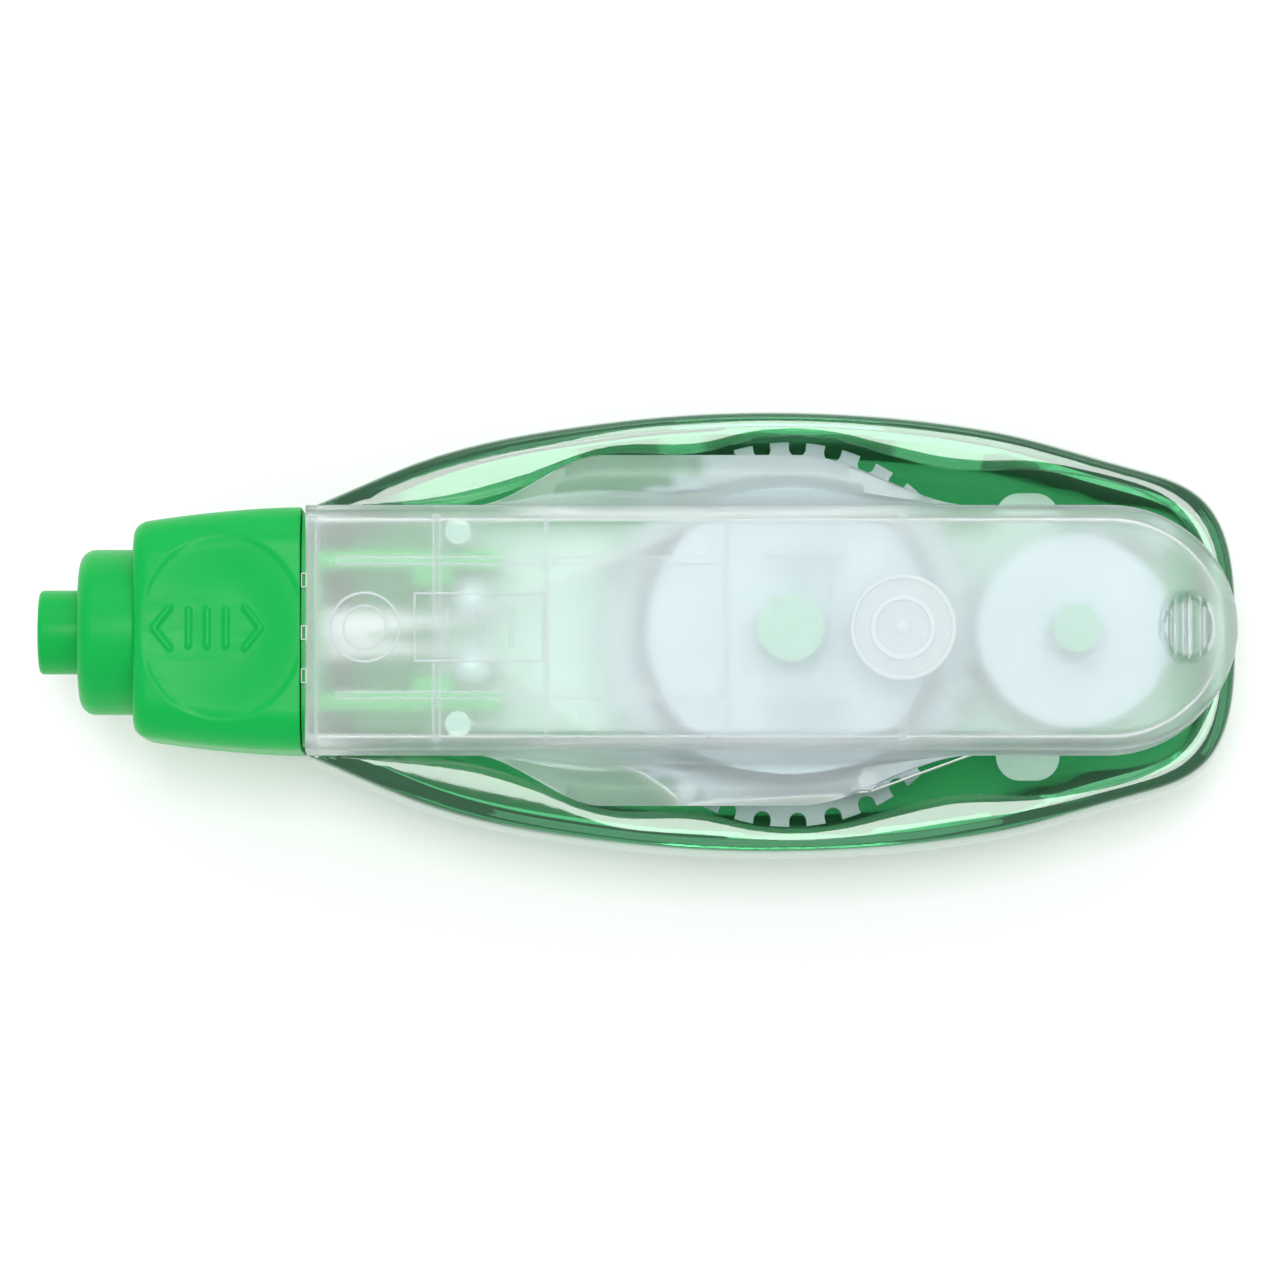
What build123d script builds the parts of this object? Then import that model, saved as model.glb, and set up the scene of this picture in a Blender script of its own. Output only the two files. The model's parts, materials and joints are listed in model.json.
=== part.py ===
from build123d import *
from math import acos, atan2, cos, degrees, hypot, sin
import os

# Correction tape roller with a palm-shaped body, a flat translucent refill tray and a twist cap.
# +X runs to the rear, +Y across, +Z towards the flat tray face that meets the paper in use.
# It lies on the crown of its shell: z = 0 is the small flat on the crown.

# Overall sizes, mm
cap_length = 20.2          # twist cap, from the guard's front to the front of the tray
body_length = 69.8         # from the front of the tray to the rear of the shell
body_width = 33.6          # widest, at the level of the gears
height = 22.0              # crown of the shell to the tray face

# Running and seating clearances, mm
running = 0.06             # radial, shafts in bores
face_gap = 0.1             # between faces that slide past each other
lift_gap = 0.3             # between the refill and the shell round it
past = 1.0                 # how far a cut runs past the face that it opens

# Outer shell
shell_wall = 1.4
shell_rim_drop = 6.5       # tray face down to the shell's rim
shell_front_half = 9.7     # half width where the shell meets the tray's front
crown_front_margin = 16.0  # tray's front to the flat that it rests on
crown_rear_margin = 19.8   # that flat to the shell's rear
crown_half = 10.0
crown_step = 1.0           # the cavity's crown lies this far inside the outer one
rear_opening_half = 12.3
rear_rim_width = 2.8       # rim round the rear of the opening
mouth_depth = 2.0          # notch in the front through which the head passes
mouth_margin = 1.0
flare_lead = 3.0           # the opening starts to widen this far before the tray's flange

# Levels of the shell and of its cavity from the crown up: share of the rim's height, how far the front and
# the rear lie inside the ends of the body, and how far the sides lie inside the half widths
shell_levels = [(0.11, 10.0, 8.0, 4.2), (0.275, 4.5, 3.2, 2.0), (0.5, 0.0, 0.7, 0.6), (0.75, 0.0, 0.0, 0.0),
                (1.0, 0.0, 0.5, 0.5)]
cavity_levels = [(0.11, 11.0, 9.8, 5.6), (0.275, 5.0, 4.8, 3.6)]
cavity_middle = (1.0, 2.1, 2.0)

# Refill tray
tray_half = 9.1
tray_wall = 0.9
tray_face = 1.0
tray_depth = 4.8
tray_rear_margin = 0.7     # the tray stops this far before the shell's rear
spoon_length = 9.5         # half ellipse that ends the tray
wing_half = 13.1
wing_thickness = 0.8
wing_start = 12.9          # behind the tray's front
wing_full = 22.0
wing_full_end = 36.4
wing_end = 49.6
tray_edge = 0.6            # rounding round the face
rib_thickness = 0.6
rib_depth = 1.5
front_rib_x = 9.4
keel_half = 4.9
keel_end = 17.8
boss_x = 44.3
boss_radius = 3.95
boss_bore = 2.3
boss_pin = 0.5
thumb_inset = 3.7          # middle of the fingertip dish, inside the tray's rear
thumb_radius_x = 2.1
thumb_radius_y = 2.6
thumb_depth = 0.5
ridge_pitch = 1.1
ridge_width = 0.4
clip_x = 36.9
clip_y = 5.6
clip_length = 6.0
clip_thickness = 0.7
clip_leg = 1.2
clip_depth = 1.6

# Tape and reels
tape_width = 4.2
film_thickness = 0.1
supply_x = 36.0
supply_pack = 10.0
spool_disc_radius = 10.6
spool_core = 4.4
hub_radius = 3.6
supply_post = 2.5
take_up_core = 5.4
take_up_pack = 5.9
take_up_post = 1.8
disc_thickness = 0.4
gear_thickness = 2.4
gear_web = 1.0
gear_rim_width = 2.6
gear_hub_wall = 1.4
washer_thickness = 0.8
washer_width = 3.4
plate_thickness = 1.2
plate_half = 8.0
plate_margin = 2.0         # plate in front of its front posts
plate_corner = 2.0
ear_front = 5.5            # ears beside the take-up reel, in front of its middle
ear_rear = 0.7
ear_gap = 1.4
ear_corner = 1.8
post_radius = 0.95
post_x = 11.3
post_y = 7.15

# Gears
gear_module = 0.85
supply_teeth = 33
take_up_teeth = 17
addendum = 0.475
tooth_gap = 1.3
gap_depth = 1.05
pinion_tooth = 0.9
pinion_addendum = 0.3
pinion_dedendum = 0.8

# Guide rollers and film pins
guide_x = 12.2
guide_y = 2.6
guide_radius = 1.3
guide_pin = 0.6
guide_pin_rise = 0.5       # guide pins above the tape
film_pin = 0.7
film_pin_front = (28.3, 11.9)
film_pin_rear = (41.8, 11.2)

# Twist cap, its bearing and the transfer head
cap_gap = 0.4
nose_length = 12.5
nose_rear_half = 9.1
nose_front_half = 7.2
nose_rear_height = 15.2
nose_front_height = 13.0
nose_bulge = 0.72          # share of the widening reached half way along
nose_corner = 3.2
nose_round = 1.0
nose_front_wall = 1.0
nose_bore = 6.6
bearing_length = 5.0
bearing_wall = 1.0
flange_margin = 0.4
collar_step = 0.4          # the collar's radius inside the cap's bore
collar_wall = 0.7
collar_length = 3.2
collar_insert = 1.5
cone_length = 1.0
guard_radius = 3.15
guard_wall = 0.4
carrier_half = 5.95
carrier_web = 1.0
carrier_wall = 1.3
carrier_height = 6.4
carrier_tail = 14.4
barb_length = 3.0
barb_depth = 1.2
barb_inset = 6.5           # barb's front, from the end of its arm
stem_half = 2.9
stem_height = 3.4
channel_floor = 0.9        # top of the stem's floor, under the cap's axis
channel_floor_thickness = 0.6
channel_reach = 3.0
tip_radius = 0.6
tip_pin = 0.25
tip_inset = 1.15           # guard's front to the roller's axis
blade_thickness = 1.0
blade_length = 6.0
blade_side = 0.3           # blade past the tape on each side
fork_length = 2.0
fork_thickness = 0.35
roller_side = 0.1          # roller short of the tape's edge on each side

# Anti-reverse pawl
pawl_pivot = (63.7, 7.4)
pawl_hub = 1.3
pawl_pin = 0.6
pawl_width = 0.9
pawl_toe = 0.6             # toe behind the take-up reel's middle

# Places that follow from the sizes above
front_x = -(cap_length + body_length) / 2
tray_x = front_x + cap_length
rear_x = tray_x + body_length
axis_z = height - nose_rear_height / 2
tape_low = axis_z - tape_width / 2
tape_high = axis_z + tape_width / 2
disc_top = tape_high + disc_thickness
gear_high = tape_low - disc_thickness - face_gap
gear_low = gear_high - gear_thickness
plate_high = gear_low - washer_thickness - 2 * face_gap
plate_low = plate_high - plate_thickness
rim_z = height - shell_rim_drop
tray_rim_z = height - tray_depth
under_face = height - tray_face
tray_length = body_length - tray_rear_margin
supply = (tray_x + supply_x, 0)
supply_pitch = gear_module * supply_teeth / 2
take_up_pitch = gear_module * take_up_teeth / 2
take_up = (supply[0] + supply_pitch + take_up_pitch, 0)
take_up_disc_radius = take_up_pitch
supply_tip = supply_pitch + addendum
cap_rear_x = tray_x - cap_gap
nose_front_x = cap_rear_x - nose_length
tip_x = front_x + tip_inset
collar_radius = nose_bore - collar_step
collar_bore = collar_radius - collar_wall
bearing_bore = nose_bore - bearing_wall
thumb_x = tray_length - thumb_inset


def disc(place, radius, low, high, bore=0):
    """A cylinder about a vertical axis, with a bore if one is given."""
    body = Pos(place[0], place[1], low) * extrude(Circle(radius), high - low)
    if bore:
        body -= Pos(place[0], place[1], low) * extrude(Circle(bore), high - low)
    return body


def rod_x(radius, start, end):
    """A cylinder along the cap's axis."""
    section = Plane((start, 0, axis_z), x_dir=(0, 1, 0), z_dir=(1, 0, 0)) * Circle(radius)
    return extrude(section, end - start)


def block(x0, x1, y0, y1, z0, z1):
    """A box from its lowest to its highest corner."""
    return Pos(x0, y0, z0) * Box(x1 - x0, y1 - y0, z1 - z0, align=(Align.MIN, Align.MIN, Align.MIN))


def both_sides(piece):
    """The piece and its mirror image across the middle of the object."""
    return piece + mirror(piece, Plane.XZ)


# Half widths of the shell at its widest level, as shares of the run from front to rear
plan_shares = [(0.0, shell_front_half), (0.14, 13.6), (0.31, 16.0), (0.55, body_width / 2),
               (0.74, 0.92 * body_width / 2), (0.9, 0.74 * body_width / 2), (0.975, 0.5 * body_width / 2)]


def plan_outline(front, rear, inset):
    """The shell's outline at one level: straight across the front, one curve round the sides and rear."""
    run = rear - front
    side = [(front + share * run, half - inset) for share, half in plan_shares]
    points = side + [(rear, 0)] + [(x, -y) for x, y in reversed(side)]
    curve = Spline(*points)
    return make_face(curve + Line(points[-1], points[0]))


def dome(levels):
    """A solid through outlines at rising levels."""
    return loft([Pos(0, 0, z) * plan_outline(front, rear, inset) for z, front, rear, inset in levels])


def outer_shell():
    crown_front = tray_x + crown_front_margin
    crown_rear = rear_x - crown_rear_margin
    crown_inset = body_width / 2 - crown_half
    outside = dome([(0, crown_front, crown_rear, crown_inset)]
                   + [(share * rim_z, tray_x + front, rear_x - rear, inset)
                      for share, front, rear, inset in shell_levels])
    inner_top = rim_z - shell_wall
    front, rear, inset = cavity_middle
    inside = dome([(shell_wall, crown_front + crown_step, crown_rear - crown_step, crown_inset + crown_step)]
                  + [(shell_wall + share * rim_z, tray_x + ahead, rear_x - behind, side)
                     for share, ahead, behind, side in cavity_levels]
                  + [(rim_z / 2, tray_x + front, rear_x - rear, inset),
                     (inner_top, tray_x - past, rear_x - shell_wall, shell_wall)])
    low = inner_top - past
    high = rim_z + past
    body = outside - block(front_x, tray_x, -body_width, body_width, -past, height) - inside
    body -= disc(supply, supply_tip + lift_gap, low, high)
    rear_strip = Rectangle(rear_x - supply[0], 2 * rear_opening_half, align=(Align.MIN, Align.CENTER))
    rear_opening = plan_outline(tray_x, rear_x, rear_rim_width) & (Pos(supply[0], 0) * rear_strip)
    body -= Pos(0, 0, low) * extrude(rear_opening, high - low)
    front_half = tray_half + lift_gap
    body -= block(tray_x - past, supply[0], -front_half, front_half, low, high)
    room_half = wing_half + lift_gap
    flare_x = tray_x + wing_start - flare_lead
    flare = Polyline((flare_x, 0), (flare_x, front_half), (tray_x + wing_full, room_half),
                     (supply[0], room_half), (supply[0], 0), close=True)
    body -= both_sides(Pos(0, 0, low) * extrude(make_face(flare), high - low))
    mouth_half = front_half - mouth_margin
    return body - block(tray_x - past, tray_x + mouth_depth, -mouth_half, mouth_half, rim_z / 2 + past, high)


def spoon_face(inset):
    """The tray's outline seen from the paper side: a strip that ends in half an ellipse."""
    straight = tray_length - spoon_length - inset
    strip = Rectangle(straight, 2 * (tray_half - inset), align=(Align.MIN, Align.CENTER))
    end = Pos(tray_x + tray_length - spoon_length, 0) * Ellipse(spoon_length - inset, tray_half - inset)
    return Pos(tray_x + inset, 0) * strip + end


def wing_outline():
    """The flange that widens the tray over the supply reel, with an S-curve at each end."""
    along = [(1, 0), (1, 0)]
    rise = Spline((tray_x + wing_start, tray_half), (tray_x + wing_full, wing_half), tangents=along)
    fall = Spline((tray_x + wing_full_end, wing_half), (tray_x + wing_end, tray_half), tangents=along)
    top = Line(rise @ 1, fall @ 0)
    base = Line(fall @ 1, rise @ 0)
    return make_face(rise + top + fall + base)


def film_pin_places():
    """Centres of the two pins that lead the used film round the supply reel."""
    return [(tray_x + x, -y) for x, y in (film_pin_front, film_pin_rear)]


def tray_frame():
    body = Pos(0, 0, tray_rim_z) * extrude(spoon_face(0), tray_depth)
    body = fillet(body.faces().sort_by(Axis.Z)[-1].edges(), tray_edge)
    body -= Pos(0, 0, tray_rim_z) * extrude(spoon_face(tray_wall), tray_depth - tray_face)
    wing = Pos(0, 0, tray_rim_z) * extrude(wing_outline(), wing_thickness)
    body += both_sides(wing)
    inner_half = tray_half - tray_wall
    for x in (tray_x + front_rib_x, tray_x + boss_x - rib_thickness / 2):
        body += block(x, x + rib_thickness, -inner_half, inner_half, under_face - rib_depth, under_face)
    keel = block(tray_x + tray_wall, tray_x + keel_end, keel_half - rib_thickness / 2,
                 keel_half + rib_thickness / 2, under_face - rib_depth, under_face)
    clip_low = under_face - clip_depth
    clip = block(tray_x + clip_x - clip_length / 2, tray_x + clip_x + clip_length / 2,
                 clip_y, clip_y + clip_thickness, clip_low, under_face)
    clip += block(tray_x + clip_x - clip_leg / 2, tray_x + clip_x + clip_leg / 2,
                  clip_y - clip_leg, clip_y, clip_low, under_face)
    body += both_sides(keel + clip)
    body += disc((tray_x + boss_x, 0), boss_radius, disc_top + lift_gap, under_face)
    body -= disc((tray_x + boss_x, 0), boss_bore, disc_top + lift_gap, under_face, boss_pin)
    for place in film_pin_places():
        body += disc(place, film_pin, tape_low, tray_rim_z)
    dish = extrude(Ellipse(thumb_radius_x, thumb_radius_y), past)
    thumb = Pos(tray_x + thumb_x, 0, height - thumb_depth) * dish
    body -= thumb
    for step in (-1, 0, 1):
        middle = tray_x + thumb_x + step * ridge_pitch
        ridge = block(middle - ridge_width / 2, middle + ridge_width / 2, -thumb_radius_y, thumb_radius_y,
                      height - thumb_depth, height)
        body += ridge & thumb
    slot_half = carrier_half + lift_gap
    body -= block(tray_x - past, tray_x + tray_wall, -slot_half, slot_half, tray_rim_z - past,
                  axis_z + carrier_height / 2 + lift_gap)
    return body


def reel_plate():
    front = tray_x + post_x - plate_margin
    rear = tray_x + pawl_pivot[0] + pawl_hub
    strip = Rectangle(rear - front, 2 * plate_half, align=(Align.MIN, Align.CENTER))
    body = Pos(front, 0, plate_low) * extrude(strip, plate_thickness)
    body = fillet(body.edges().filter_by(Axis.Z), plate_corner)
    ear_half = rear_opening_half - ear_gap
    ears = block(take_up[0] - ear_front, take_up[0] - ear_rear, -ear_half, ear_half, plate_low, plate_high)
    body += fillet(ears.edges().filter_by(Axis.Z), ear_corner)
    body += disc(supply, supply_post, plate_high, under_face)
    body += disc(take_up, take_up_post, plate_high, under_face)
    for side in (-1, 1):
        body += disc((tray_x + post_x, side * post_y), post_radius, plate_high, under_face)
        body += disc((tray_x + guide_x, side * guide_y), guide_pin, plate_high, tape_high + guide_pin_rise)
    body += disc((tray_x + pawl_pivot[0], pawl_pivot[1]), pawl_pin, plate_high, gear_high)
    return body


def notched_wheel(place, tip, teeth, low, high):
    """The supply gear's rim: a disc with a round-bottomed gap between each two teeth."""
    face = Circle(tip)
    middle = tip - gap_depth + tooth_gap / 2
    for index in range(teeth):
        turn = Rot(0, 0, 360 * index / teeth)
        face -= turn * (Pos(middle, 0) * Circle(tooth_gap / 2))
        face -= turn * (Pos(middle, 0) * Rectangle(2 * gap_depth, tooth_gap, align=(Align.MIN, Align.CENTER)))
    return Pos(place[0], place[1], low) * extrude(face, high - low)


def pinion_wheel(place, low, high):
    """The take-up gear: narrow round-tipped teeth that run in the supply gear's gaps."""
    tip = take_up_pitch + pinion_addendum
    face = Circle(take_up_pitch - pinion_dedendum)
    for index in range(take_up_teeth):
        turn = Rot(0, 0, 180 + 360 * index / take_up_teeth)
        reach = tip - pinion_tooth / 2
        face += turn * (Rectangle(reach, pinion_tooth, align=(Align.MIN, Align.CENTER)))
        face += turn * (Pos(reach, 0) * Circle(pinion_tooth / 2))
    return Pos(place[0], place[1], low) * extrude(face, high - low)


def drive_gear():
    body = notched_wheel(supply, supply_tip, supply_teeth, gear_low, gear_high)
    inside_rim = supply_tip - gear_rim_width
    body -= disc(supply, inside_rim, gear_low + gear_web, gear_high, hub_radius + gear_hub_wall)
    body -= disc(supply, hub_radius + running, gear_low, gear_high)
    return body


def supply_spool():
    body = disc(supply, spool_disc_radius, tape_low - disc_thickness, tape_low)
    body += disc(supply, spool_core, tape_low, tape_high)
    body += disc(supply, hub_radius, gear_low, disc_top)
    return body - disc(supply, supply_post + running, gear_low, disc_top)


def take_up_reel():
    body = pinion_wheel(take_up, gear_low, gear_high)
    body += disc(take_up, take_up_disc_radius, gear_high, tape_low)
    body += disc(take_up, take_up_core, tape_low, tape_high)
    return body - disc(take_up, take_up_post + running, gear_low, tape_high)


def ratchet_pawl():
    """A lever that rests on the take-up gear's tooth tips, with its pivot behind the gear."""
    pivot = (tray_x + pawl_pivot[0], pawl_pivot[1])
    clear = take_up_pitch + pinion_addendum + face_gap
    toe = (take_up[0] + pawl_toe, clear + pawl_width / 2)
    run = hypot(toe[0] - pivot[0], toe[1] - pivot[1])
    turn = degrees(atan2(toe[1] - pivot[1], toe[0] - pivot[0]))
    arm = Rectangle(run, pawl_width, align=(Align.MIN, Align.CENTER)) + Pos(run, 0) * Circle(pawl_width / 2)
    body = Pos(pivot[0], pivot[1], gear_low) * extrude(Rot(0, 0, turn) * arm, gear_thickness)
    body += disc(pivot, pawl_hub, gear_low, gear_high)
    return body - disc(pivot, pawl_pin + running, gear_low, gear_high)


def nose_section(x, half, tall):
    """A rounded rectangle across the cap's axis."""
    place = Plane((x, 0, axis_z), x_dir=(0, 1, 0), z_dir=(1, 0, 0))
    return place * RectangleRounded(2 * half, tall, nose_corner)


def nose_shell():
    middle_half = nose_front_half + nose_bulge * (nose_rear_half - nose_front_half)
    middle_tall = nose_front_height + nose_bulge * (nose_rear_height - nose_front_height)
    body = loft([
        nose_section(nose_front_x, nose_front_half, nose_front_height),
        nose_section(nose_front_x + 0.5 * nose_length, middle_half, middle_tall),
        nose_section(cap_rear_x, nose_rear_half, nose_rear_height),
    ])
    body = fillet(body.faces().sort_by(Axis.X)[0].edges(), nose_round)
    wall_rear = nose_front_x + nose_front_wall
    body -= rod_x(nose_bore, wall_rear, cap_rear_x)
    return body - rod_x(collar_radius + running / 2, nose_front_x, wall_rear)


def tip_guard():
    """The collar that fills the cap's front and the half shell that covers the tip while closed."""
    rear = nose_front_x + collar_insert
    cone_rear = nose_front_x - collar_length
    cone_front = cone_rear - cone_length
    body = rod_x(collar_radius, cone_rear, rear)
    end = Plane((cone_rear, 0, axis_z), x_dir=(0, 1, 0), z_dir=(1, 0, 0)) * Circle(collar_radius)
    start = Plane((cone_front, 0, axis_z), x_dir=(0, 1, 0), z_dir=(1, 0, 0)) * Circle(guard_radius)
    body += loft([start, end])
    body += rod_x(nose_bore - running / 2, nose_front_x + nose_front_wall, rear)
    body += rod_x(guard_radius, front_x, cone_front)
    body -= rod_x(collar_bore, cone_rear, rear)
    body -= rod_x(guard_radius - guard_wall, front_x + guard_wall, rear)
    reach = guard_radius + past
    return body - block(front_x - past, cone_front, -reach, reach, axis_z - reach, axis_z)


def swivel_ring():
    """The bearing that the cap turns on, with a thin flange that closes the gap to the tray."""
    body = rod_x(nose_bore - running, tray_x - bearing_length, tray_x)
    flange = Plane((cap_rear_x + face_gap, 0, axis_z), x_dir=(0, 1, 0), z_dir=(1, 0, 0))
    wide = 2 * (nose_rear_half - flange_margin)
    flange *= RectangleRounded(wide, nose_rear_height - 2 * flange_margin, nose_corner)
    body += extrude(flange, cap_gap - face_gap)
    return body - rod_x(bearing_bore, tray_x - bearing_length, tray_x)


def head_carrier():
    """Two barbed arms inside the tray, a ring in the bearing and a stem that holds the tip."""
    tail = tray_x + carrier_tail
    inner = carrier_half - carrier_wall
    low = axis_z - carrier_height / 2
    high = axis_z + carrier_height / 2
    arm = block(tray_x, tail, inner, carrier_half, low, high)
    barb_x = tail - barb_inset
    arm += block(barb_x, barb_x + barb_length, inner - barb_depth, inner, low, high)
    body = both_sides(arm)
    body += rod_x(bearing_bore - running, tray_x - bearing_length, tray_x)
    body += block(tray_x, tray_x + carrier_web, -carrier_half, carrier_half, low, high)
    stem_front = tip_x + blade_length
    stem_low = axis_z - stem_height / 2
    body += block(stem_front, tray_x - past, -stem_half, stem_half, stem_low, stem_low + stem_height)
    channel_half = tape_width / 2 + lift_gap
    channel_rear = tray_x + carrier_web + past
    floor_low = axis_z - channel_floor - channel_floor_thickness
    slot = block(stem_front - past, channel_rear, -channel_half, channel_half, axis_z - channel_floor,
                 axis_z + channel_reach)
    lower = block(stem_front - past, channel_rear, -channel_half, channel_half,
                  axis_z - channel_reach, floor_low)
    way_through = block(tray_x - bearing_length - past, channel_rear, -channel_half, channel_half,
                        floor_low - face_gap, axis_z - channel_floor + face_gap)
    return body - slot - lower - way_through


def across(radius, half, bore=0):
    """A cylinder along Y on the tip's axis."""
    body = Pos(tip_x, half, axis_z) * Rot(90, 0, 0) * extrude(Circle(radius), 2 * half)
    if bore:
        body -= Pos(tip_x, half, axis_z) * Rot(90, 0, 0) * extrude(Circle(bore), 2 * half)
    return body


def tip_blade():
    """A thin tongue whose forked front holds the roller."""
    low = axis_z - blade_thickness / 2
    high = axis_z + blade_thickness / 2
    half = tape_width / 2 + blade_side
    body = block(tip_x + tip_radius + face_gap, tip_x + blade_length, -half, half, low, high)
    fork = block(tip_x, tip_x + fork_length, half - fork_thickness, half, low, high)
    fork += Pos(tip_x, half, axis_z) * Rot(90, 0, 0) * extrude(Circle(blade_thickness / 2), fork_thickness)
    body += both_sides(fork)
    return body - across(tip_pin, half + past)


def tangent_ends(start, start_radius, start_side, end, end_radius, end_side):
    """Where a straight film leaves one round piece and meets another, each side being +1 or -1 of the run."""
    dx = end[0] - start[0]
    dy = end[1] - start[1]
    gap = hypot(dx, dy)
    lean = acos((start_side * start_radius - end_side * end_radius) / gap)
    heading = atan2(dy, dx)
    angle = heading + lean
    leave = start_side * start_radius
    meet = end_side * end_radius
    first = (start[0] + leave * cos(angle), start[1] + leave * sin(angle))
    last = (end[0] + meet * cos(angle), end[1] + meet * sin(angle))
    return first, last


def upright_film(first, last):
    """A straight run of film that stands on its edge."""
    run = hypot(last[0] - first[0], last[1] - first[1])
    turn = degrees(atan2(last[1] - first[1], last[0] - first[0]))
    strip = Rectangle(run, film_thickness, align=(Align.MIN, Align.CENTER))
    return Pos(first[0], first[1], tape_low) * extrude(Rot(0, 0, turn) * strip, tape_width)


def twisted_film(rear, front, level, steps=6):
    """Film that turns from upright at the guide roller to flat at the tip."""
    sections = []
    for step in range(steps + 1):
        share = step / steps
        middle = (rear[0] + share * (front[0] - rear[0]), rear[1] * (1 - share), axis_z + share * level)
        place = Plane(middle, x_dir=(0, 1, 0), z_dir=(-1, 0, 0)).rotated((0, 0, 90 * (1 - share)))
        sections.append(place * Rectangle(tape_width, film_thickness))
    return loft(sections, ruled=True)


def film(side, round_pieces):
    """Film from the tip to a guide roller and on round the given pieces to its reel."""
    guide = (tray_x + guide_x, side * guide_y)
    away = guide_radius + face_gap
    level = tip_radius + face_gap
    body = twisted_film((guide[0], guide[1] - side * away), (tip_x, 0), side * level)
    stops = [(guide, away, -1 if side > 0 else 1)] + round_pieces
    for (here, radius, hand), (there, next_radius, next_hand) in zip(stops, stops[1:]):
        first, last = tangent_ends(here, radius, hand, there, next_radius, next_hand)
        body += upright_film(first, last)
    return body


def feed_tape():
    return film(1, [(supply, supply_pack + face_gap, 1)])


def return_tape():
    pins = [(place, film_pin + face_gap, -1) for place in film_pin_places()]
    return film(-1, pins + [(take_up, take_up_pack + face_gap, -1)])


def guide_roller(side):
    place = (tray_x + guide_x, side * guide_y)
    return disc(place, guide_radius, tape_low, tape_high, guide_pin + running)


pieces = {
    "outer_shell": outer_shell(),
    "tray_frame": tray_frame(),
    "reel_plate": reel_plate(),
    "swivel_ring": swivel_ring(),
    "head_carrier": head_carrier(),
    "tip_blade": tip_blade(),
    "tip_roller": across(tip_radius, tape_width / 2 - roller_side, tip_pin + running),
    "tip_roller_pin": across(tip_pin, tape_width / 2 + blade_side),
    "guide_roller_left": guide_roller(1),
    "guide_roller_right": guide_roller(-1),
    "nose_shell": nose_shell(),
    "tip_guard": tip_guard(),
    "drive_gear": drive_gear(),
    "clutch_washer": disc(supply, hub_radius + washer_width, gear_low - face_gap - washer_thickness,
                          gear_low - face_gap, hub_radius + face_gap),
    "supply_spool": supply_spool(),
    "spool_disc": disc(supply, spool_disc_radius, tape_high, disc_top, hub_radius),
    "supply_tape": disc(supply, supply_pack, tape_low, tape_high, spool_core),
    "take_up_reel": take_up_reel(),
    "take_up_disc": disc(take_up, take_up_disc_radius, tape_high, disc_top, take_up_post + running),
    "take_up_tape": disc(take_up, take_up_pack, tape_low, tape_high, take_up_core),
    "ratchet_pawl": ratchet_pawl(),
    "feed_tape": feed_tape(),
    "return_tape": return_tape(),
}

os.makedirs("parts", exist_ok=True)
for name, piece in pieces.items():
    export_step(piece, f"parts/{name}.step")
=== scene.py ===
import json
import math

import bmesh
import bpy
import numpy as np
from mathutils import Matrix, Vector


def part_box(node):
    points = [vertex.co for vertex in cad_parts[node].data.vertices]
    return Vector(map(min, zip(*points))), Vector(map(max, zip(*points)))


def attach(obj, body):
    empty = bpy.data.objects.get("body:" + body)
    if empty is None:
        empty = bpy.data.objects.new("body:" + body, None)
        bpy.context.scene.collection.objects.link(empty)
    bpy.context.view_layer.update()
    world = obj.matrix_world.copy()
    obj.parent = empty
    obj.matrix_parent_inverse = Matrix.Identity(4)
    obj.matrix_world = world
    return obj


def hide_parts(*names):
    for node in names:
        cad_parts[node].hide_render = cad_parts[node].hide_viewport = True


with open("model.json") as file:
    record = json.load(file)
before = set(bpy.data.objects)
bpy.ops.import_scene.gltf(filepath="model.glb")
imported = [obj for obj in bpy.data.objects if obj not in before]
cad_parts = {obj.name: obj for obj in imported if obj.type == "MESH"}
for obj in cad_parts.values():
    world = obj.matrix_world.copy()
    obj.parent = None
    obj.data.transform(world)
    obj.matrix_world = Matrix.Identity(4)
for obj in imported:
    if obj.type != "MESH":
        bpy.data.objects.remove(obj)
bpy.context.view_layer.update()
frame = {"nodes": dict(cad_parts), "record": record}

# Correction tape roller: green transparent shell, frosted refill tray, geared reels, twist cap.
# Lengths are metres, worked out in millimetres and scaled once by MM.
MM = 0.001


def node_box(node):
    """Lowest and highest corner of a CAD node, in millimetres."""
    low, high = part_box(node)
    return np.array(low) / MM, np.array(high) / MM


def middle(node):
    """Centre of a CAD node's box, in millimetres."""
    low, high = node_box(node)
    return (low + high) / 2


shell_high = node_box("outer_shell")[1]
tray_low, tray_high = node_box("tray_frame")
nose_low, nose_high = node_box("nose_shell")
guard_low, guard_high = node_box("tip_guard")
tape_low = node_box("supply_tape")[0]
disc_high = node_box("spool_disc")[1]
tray_front = tray_low[0]
tray_face = tray_high[2]
cap_axis = (nose_low[2] + nose_high[2]) / 2


# ---------------------------------------------------------------- surfaces

def curve_through(points, at):
    """Smooth values through a few (place, value) points: cubic Hermite pieces whose slopes are central
    differences."""
    x, y = np.array(points, float).T
    slope = np.gradient(y, x)
    at = np.asarray(at, float)
    i = np.clip(np.searchsorted(x, at) - 1, 0, len(x) - 2)
    step = x[i + 1] - x[i]
    t = np.clip((at - x[i]) / step, 0, 1)
    rise = y[i] * (1 + 2 * t) * (1 - t) ** 2 + y[i + 1] * t * t * (3 - 2 * t)
    return rise + step * (slope[i] * t * (1 - t) ** 2 + slope[i + 1] * t * t * (t - 1))


def ease(low, high, at):
    """0 below low, 1 above high and a smooth S between: 3t^2 - 2t^3."""
    t = np.clip((np.asarray(at, float) - low) / (high - low), 0, 1)
    return t * t * (3 - 2 * t)


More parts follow.
